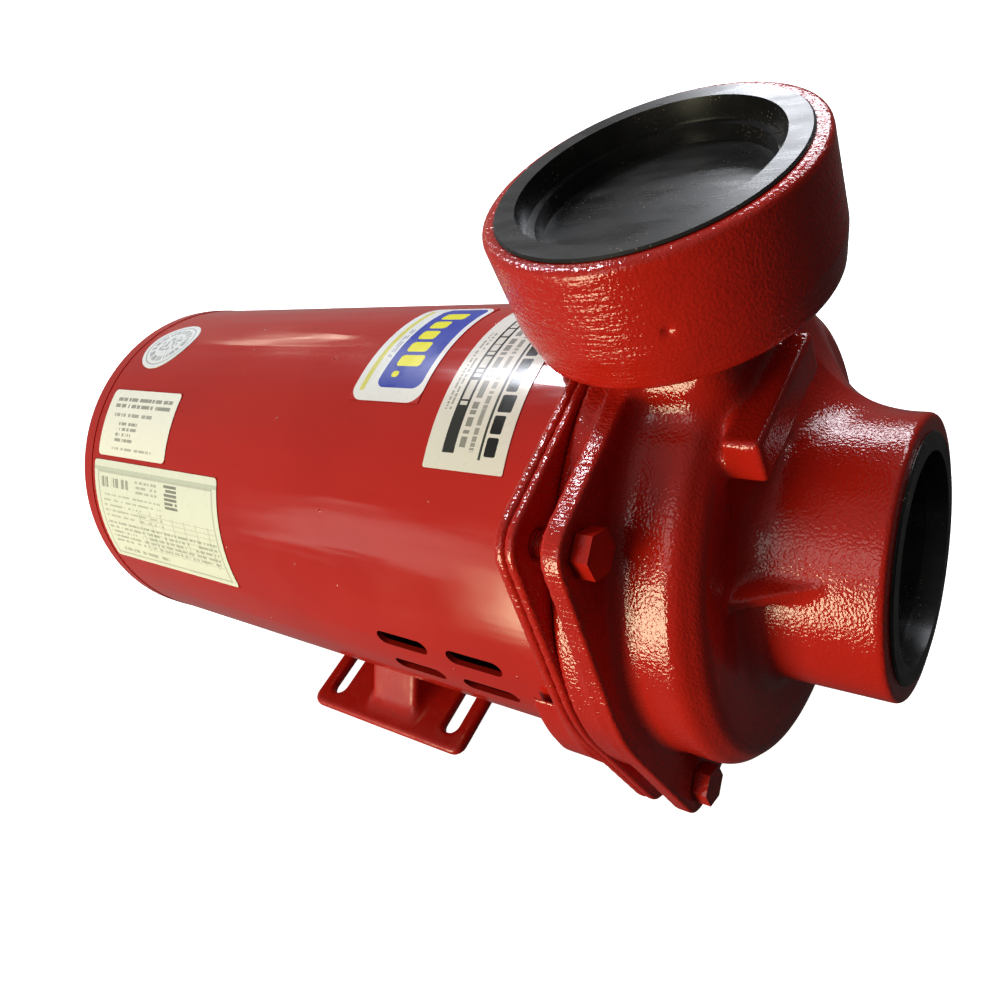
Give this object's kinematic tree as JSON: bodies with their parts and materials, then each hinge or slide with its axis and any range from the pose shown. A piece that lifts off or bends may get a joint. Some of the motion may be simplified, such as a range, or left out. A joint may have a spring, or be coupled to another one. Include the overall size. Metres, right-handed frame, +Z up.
{
  "type": "close-coupled centrifugal pump",
  "caption": "Horizontal end-suction centrifugal pump, close-coupled to a foot-mounted round-shell motor, with top discharge and removable port plugs.",
  "frame": {"origin": "on the mounting plane under the motor foot, midway between its four slots", "axes": "+X along the shaft towards the suction nozzle, +Z up out of the discharge, +Y to the side with the cable entry"},
  "size_m": [0.3683, 0.182, 0.2228],
  "materials": {
    "shell_enamel": "gloss enamel over rolled steel",
    "casting_enamel": "gloss enamel over sand-cast iron",
    "bolt_enamel": "gloss enamel over plated steel",
    "black_plastic": "satin moulded polyethylene",
    "label_white": "printed film",
    "label_cream": "printed paper",
    "label_silver": "printed foil",
    "label_blue": "printed film",
    "steel": "ground steel",
    "plated_steel": "zinc plate",
    "lamination": "stacked electrical steel",
    "copper": "varnished copper wire",
    "cast_aluminium": "die cast",
    "bare_iron": "machined cast iron",
    "nitrile": "moulded rubber",
    "ceramic": "lapped ceramic",
    "carbon": "lapped carbon",
    "phenolic": "moulded phenolic",
    "brass": "turned brass",
    "gasket_sheet": "compressed fibre sheet",
    "grey_nylon": "moulded nylon"
  },
  "bodies": {
    "pump": {"motor_shell": "shell_enamel", "motor_foot": "shell_enamel", "front_end_shield": "casting_enamel", "rear_end_shield": "casting_enamel", "rear_cover": "shell_enamel", "rear_cover_screws": "bolt_enamel", "tie_bolts": "plated_steel", "conduit_bush": "grey_nylon", "terminal_board": "phenolic", "terminal_studs": "brass", "stator_core": "lamination", "stator_windings": "copper", "rear_bearing_outer_race": "steel", "front_bearing_outer_race": "steel", "wave_washer": "steel", "seal_seat_cup": "nitrile", "seal_seat": "ceramic", "seal_plate": "casting_enamel", "casing_gasket": "gasket_sheet", "volute_casing": "casting_enamel", "drain_plug": "brass", "casing_bolts": "bolt_enamel", "round_label": "label_white", "inspection_label": "label_cream", "rating_plate": "label_silver", "dealer_sticker": "label_blue", "pump_label": "label_white"},
    "rotor": {"shaft": "steel", "rotor_core": "lamination", "rotor_end_rings": "cast_aluminium", "cooling_fan": "grey_nylon", "rear_bearing_inner_race": "steel", "rear_bearing_balls": "steel", "front_bearing_inner_race": "steel", "front_bearing_balls": "steel", "water_slinger": "nitrile", "seal_face": "carbon", "seal_collar": "nitrile", "seal_spring": "steel", "impeller": "bare_iron", "impeller_key": "steel", "impeller_washer": "steel", "impeller_nut": "brass"},
    "suction_plug": {"suction_plug": "black_plastic"},
    "discharge_plug": {"discharge_plug": "black_plastic"}
  },
  "joints": [
    {"name": "rotor_spin", "type": "hinge", "parent": "pump", "child": "rotor", "pos_m": [0, 0, 0.0889], "axis": [1, 0, 0], "continuous": true},
    {"name": "suction_plug_off", "type": "slide", "parent": "pump", "child": "suction_plug", "axis": [1, 0, 0], "range_m": [0, 0.06]},
    {"name": "discharge_plug_off", "type": "slide", "parent": "pump", "child": "discharge_plug", "axis": [0, 0, 1], "range_m": [0, 0.06]}
  ]
}
